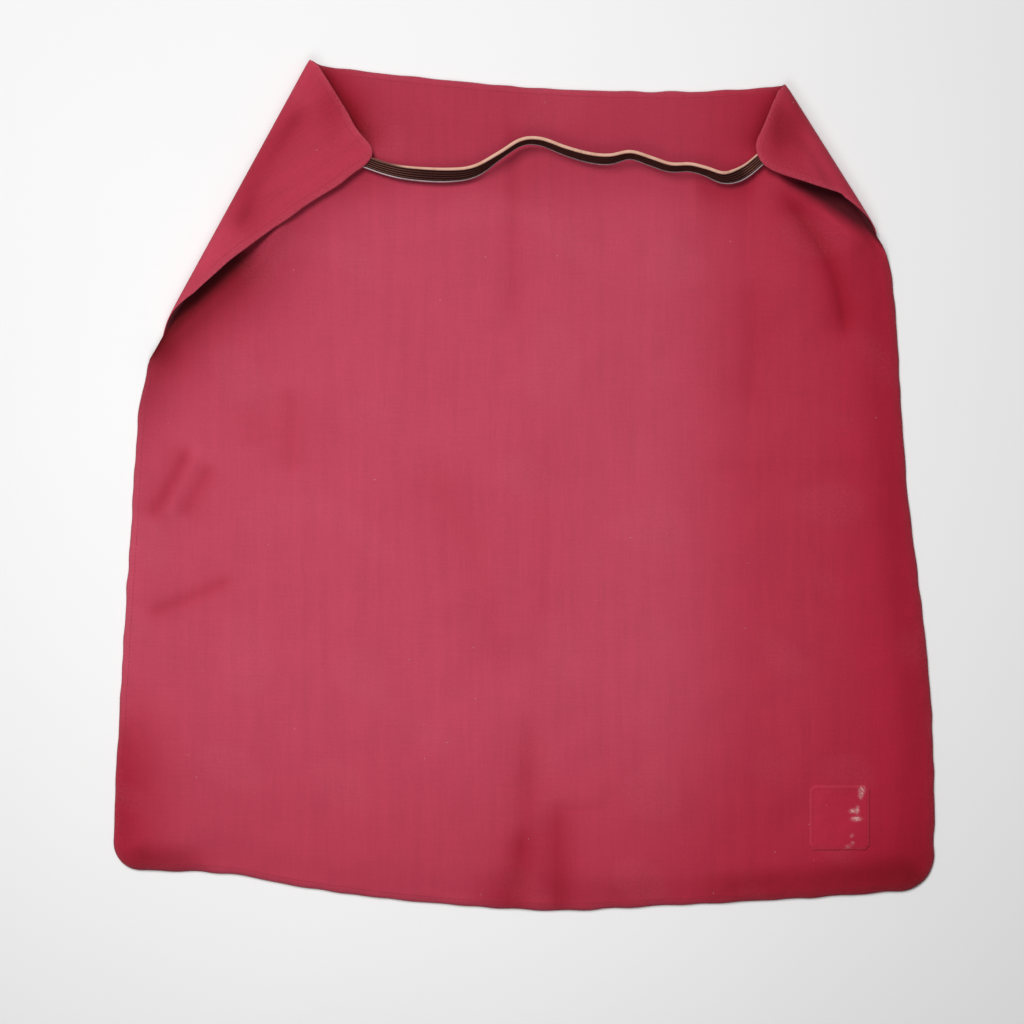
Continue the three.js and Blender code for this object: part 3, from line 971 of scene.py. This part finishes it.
def gather(low, high, count):
    """How much of its width the elastic keeps: it is drawn in towards both sewn ends."""
    share = np.linspace(low, high, count)
    return 0.76 + 0.24 * past(share, 0.07, 0.2) * smooth((0.93 - share) / 0.12)


def strap_piece(name, low, high, section, material):
    """A length of the strap with a closed cross-section of (across, through) points."""
    middle, across, through = strap_frames(low, high, STRAP_RINGS)
    width = gather(low, high, STRAP_RINGS)[:, None, None]
    rings = (middle[:, None] + across[:, None] * section[None, :, :1] * width
             + through[:, None] * section[None, :, 1:])
    flat = np.zeros(rings.shape)
    flat[..., 0] = lengths(middle)[:, None]
    flat[..., 1] = section[None, :, 0]
    share = np.linspace(low, high, STRAP_RINGS)[:, None] + np.zeros(rings.shape[:2])
    piece = tube(name, rings, flat=flat, grime=1 - past(share, 0.10, 0.05),
                 bright=1 - past(share, 0.08, 0.12) + past(share, 0.86, 0.05))
    return dress(piece, material)


def ribbed_section(half_width, half_thickness, ribs, rib_height):
    """A flat tape with rounded sides and ribs along both faces."""
    t = np.linspace(-1, 1, 41)
    crest = half_thickness + rib_height * np.cos(ribs * math.pi * t) * (1 - t ** 6)
    body = crest * np.sqrt(1 - t ** 8)
    top = np.stack([half_width * t, body], -1)
    bottom = np.stack([half_width * t[::-1], -body[::-1]], -1)
    return np.vstack([top, bottom[1:-1]])[::-1]


def bead_section(centre, half_width, half_thickness):
    angle = np.linspace(0, 2 * math.pi, 20, endpoint=False)
    rounded = np.sign(np.cos(angle)) * np.abs(np.cos(angle)) ** 0.8
    return np.stack([centre + half_width * rounded, half_thickness * np.sin(angle)], -1)


def build_strap():
    middle_share = 0.52
    tape = ribbed_section(half_width=5.9, half_thickness=0.95, ribs=5, rib_height=0.3)
    parts = (
        ("elastic", tape, elastic, "elastic"),
        ("upper_edge", bead_section(6.5, 1.2, 1.5), cream, "strap_edge_cream"),
        ("lower_edge", bead_section(-6.5, 0.75, 0.8), grey, "strap_edge_grey"),
    )
    # Each ends with a pair of x values: where the half would start to follow its flap, and where it wholly
    # would
    halves = (
        ("left", 0.0, middle_share, (30, -122)),
        ("right", middle_share, 1.0, (62, 196)),
    )
    for side, low, high, reach in halves:
        for part, section, material, slot in parts:
            piece = strap_piece(f"strap_{part}_{side}", low, high, section, material)
            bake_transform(piece)
            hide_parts(f"strap_{part}")
            if part == "elastic":
                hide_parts(f"{side}_strap_end")


# ======== stitching

def stitch_mesh(name, starts, ends, normals, radius):
    """Many small raised stitches, each a closed spindle from a start to an end."""
    sides = 6
    profile = [(0.0, 0.25), (0.12, 0.8), (0.5, 1.0), (0.88, 0.8), (1.0, 0.25)]  # shares of length, radius
    angle = np.linspace(0, 2 * math.pi, sides, endpoint=False)
    vertices, faces = [], []
    for start, end, normal in zip(starts, ends, normals):
        way = end - start
        side_way = np.cross(way / np.linalg.norm(way), normal)
        base = len(vertices)
        for share, width in profile:
            bow = 2 * share * (1 - share) * radius
            centre = start + way * share + normal * bow
            for a in angle:
                vertices.append(centre + radius * width * (math.cos(a) * side_way + math.sin(a) * normal))
        for ring in range(len(profile) - 1):
            for k in range(sides):
                a, b = base + ring * sides + k, base + ring * sides + (k + 1) % sides
                faces.append((a, a + sides, b + sides, b))
        faces.append(tuple(base + k for k in range(sides)))
        last = base + (len(profile) - 1) * sides
        faces.append(tuple(last + k for k in reversed(range(sides))))
    return make_object(name, np.array(vertices), faces, {})


def project(surface, plan):
    """Points and upward normals where plan points meet a surface from above."""
    found = []
    for x, y in plan:
        hit, normal = look_down(surface, x, y)
        if hit is not None:
            outward = normal if normal.z > 0 else -normal
            found.append((np.array(hit) / MM, np.array(outward)))
    return found


def stitch_row(name, piece, line, pitch=3.4, length=2.5, radius=0.17):
    """A row of stitches on a piece, along a plan line."""
    surface = surface_of(piece)
    whole = lengths(line)[-1]
    share = np.arange(int(whole / pitch)) * pitch / whole
    first, second = (project(surface, at_share(line, share + ahead / whole)) for ahead in (0, length))
    kept = [(a[0], b[0], a[1]) for a, b in zip(first, second) if np.linalg.norm(a[0] - b[0]) < 2 * length]
    row = stitch_mesh(name, *zip(*kept), radius)
    return dress(row, thread)


def inset(line, amount):
    """The line moved to its left by an amount."""
    way = np.gradient(line, axis=0)
    way /= np.linalg.norm(way, axis=1, keepdims=True)
    return line + np.stack([-way[:, 1], way[:, 0]], -1) * amount


HEM_STITCH = 6.0  # from the edge to the hem's stitches


def build_hem_stitching(face):
    runs = {
        "top_seam": inset(top_edge[::-1], HEM_STITCH)[14:-14],
        "left_side_seam": inset(left_side[::-1], HEM_STITCH)[6:],
        "right_side_seam": inset(right_side, HEM_STITCH)[:-6],
        "bottom_seam": inset(join(left_arc, bottom_edge, right_arc), HEM_STITCH),
    }
    for node, line in runs.items():
        row = stitch_row(f"{node}_stitches", face, line)
        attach(row, "deck")
        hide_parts(node)


def build_corner_stitching(corner):
    outer = bpy.data.objects[f"{corner.side}_corner_outer_cloth"]
    line = inset(corner.edge, -HEM_STITCH if corner.side == "left" else HEM_STITCH)
    tip = int(np.argmax(corner.fold.split(corner.edge)[1]))
    top_gap, tip_gap, foot_gap = 12, 4, 24  # lengths of the edge with no stitches
    for node, part in (("top", line[top_gap:tip - tip_gap]), ("side", line[tip + tip_gap:-foot_gap])):
        row = stitch_row(f"{corner.side}_flap_{node}_stitches", outer, part)
        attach(row, f"{corner.side}_flap")
        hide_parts(f"{corner.side}_flap_{node}_seam")


def build_strap_tacks():
    """A sewn box and cross under each strap end."""
    drop, half_width, pitch, radius = 1.35, 4.2, 2.2, 0.24
    for side, low, high in (("left", 0.008, 0.045), ("right", 0.955, 0.992)):
        middle, across, through = strap_frames(low, high, 2)
        under = -through[0] * drop
        half = across[0] * half_width
        a, b = middle[0] + under - half, middle[1] + under - half
        c, d = middle[1] + under + half, middle[0] + under + half
        starts, ends = [], []
        for start, end in ((a, b), (b, c), (c, d), (d, a), (a, c), (b, d)):
            count = max(2, int(np.linalg.norm(end - start) / pitch))
            for k in range(count):
                starts.append(start + (end - start) * (k + 0.08) / count)
                ends.append(start + (end - start) * (k + 0.9) / count)
        tack = stitch_mesh(f"{side}_strap_tack", starts, ends, [-through[0]] * len(starts), radius)
        dress(tack, thread)
        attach(tack, f"{side}_flap")
        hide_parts(f"{side}_strap_stitches")


# ======== patch and cord

PATCH_CLOTH = 0.5
# Each is a worn place on the patch: x, y, half-width, half-height, strength
WORN_SPOTS = (
    (304, -274, 2.2, 3.4, 0.6), (303, -279, 1.6, 2.6, 0.6), (296, -293, 2.6, 1.5, 0.8),
    (300, -292, 1.4, 3.0, 0.7), (299, -300, 3.4, 1.5, 1.0), (295, -315, 1.5, 1.3, 0.35),
    (295.5, -322, 1.4, 1.4, 0.35), (291.5, -325, 2.2, 1.3, 0.35),
)


def build_patch(face):
    """A small square of cloth sewn on at the lower right, worn pale in places."""
    low, high = (np.array(corner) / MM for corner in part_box("label_patch"))
    surface = surface_of(face)
    x, y = (np.linspace(low[k], high[k], PATCH_GRID[1 - k]) for k in (0, 1))
    plan = np.stack(np.meshgrid(x, y), -1)
    middle = (low[:2] + high[:2]) / 2
    half = (high[:2] - low[:2]) / 2
    off = np.abs(plan - middle) / half
    pull = np.maximum(off.min(-1) - 0.86, 0)[..., None]
    rounded = plan - (plan - middle) * pull * 0.5
    z = np.array([[look_down(surface, x, y)[0].z / MM for x, y in row] for row in rounded])
    edge = np.minimum(half[0] * (1 - off[..., 0]), half[1] * (1 - off[..., 1]))
    z += 0.25 + 0.45 * dome(edge / 2.2) + 0.08 * ripple(rounded, 14, 41)
    spots = np.zeros(z.shape)
    for cx, cy, across, up, strength in WORN_SPOTS:
        spots += swell(rounded, (cx, cy), (across, up), strength)
    wear = np.clip(spots * 1.6 + 0.06 * np.exp(-edge / 1.2), 0, 1)
    patch = cloth_shell("label_patch_cloth", raised(rounded, z), PATCH_CLOTH, flat=flat_place(rounded),
                        wear=wear, shade=np.zeros(z.shape), dye=face_dye(rounded) * 1.08)
    dress(patch, patch_cloth)
    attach(patch, "deck")
    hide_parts("label_patch")
    margin = 3
    a, c = low[:2] + margin, high[:2] - margin
    outline = np.array([a, (c[0], a[1]), c, (a[0], c[1]), a])
    row = stitch_row("label_patch_stitches", patch, resample(outline, 120), 2.6, 1.9, 0.2)
    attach(row, "deck")


def dress_cord():
    cord = frame["nodes"]["hem_shock_cord"]
    cord.data.materials.clear()
    cord.data.materials.append(braid)


# ======== stage

def aim(lamp, target):
    lamp.rotation_mode = "QUATERNION"
    lamp.rotation_quaternion = (Vector(target) - lamp.location).to_track_quat("-Z", "Y")


def add_area(name, place, target, size, watts):
    data = bpy.data.lights.new(name, "AREA")
    data.shape = "DISK"
    data.size = size
    data.energy = watts
    lamp = bpy.data.objects.new(name, data)
    lamp.location = place
    lamp.visible_camera = False
    bpy.context.scene.collection.objects.link(lamp)
    aim(lamp, target)


def build_stage():
    bpy.ops.mesh.primitive_plane_add(size=12, location=(0, 0, 0))
    floor = bpy.context.object
    floor.name = "floor"
    floor.data.materials.append(floor_material())
    add_area("key", (-0.7, 1.3, 2.6), (-0.05, 0.02, 0), 1.5, 63)
    add_area("glow", (-0.13, -0.16, 0.8), (-0.13, -0.16, 0), 0.5, 2.05)
    world = bpy.data.worlds.new("studio")
    world.use_nodes = True
    background = world.node_tree.nodes["Background"]
    background.inputs["Color"].default_value = (1, 1, 1, 1)
    background.inputs["Strength"].default_value = 0.16
    bpy.context.scene.world = world
    data = bpy.data.cameras.new("camera")
    data.sensor_width = 36
    data.lens = 78.125
    data.clip_end = 20
    camera = bpy.data.objects.new("camera", data)
    camera.location = (-0.0108, -0.0239, 2.008)
    bpy.context.scene.collection.objects.link(camera)
    bpy.context.scene.camera = camera
    bpy.context.scene.view_settings.view_transform = "Standard"


build_stage()
deck_cloth = build_deck()
corners = (
    Corner("left", LEFT, LEFT_TIP, (-1, 0, 2), (300, 266, 236), left_sag, left_waves),
    Corner("right", RIGHT, RIGHT_TIP, (-1, 0, 3), (171, 152, 116), right_sag, right_waves),
)
for corner in corners:
    build_corner(corner)
    build_corner_stitching(corner)
build_strap()
build_strap_tacks()
build_hem_stitching(deck_cloth)
build_patch(deck_cloth)
dress_cord()
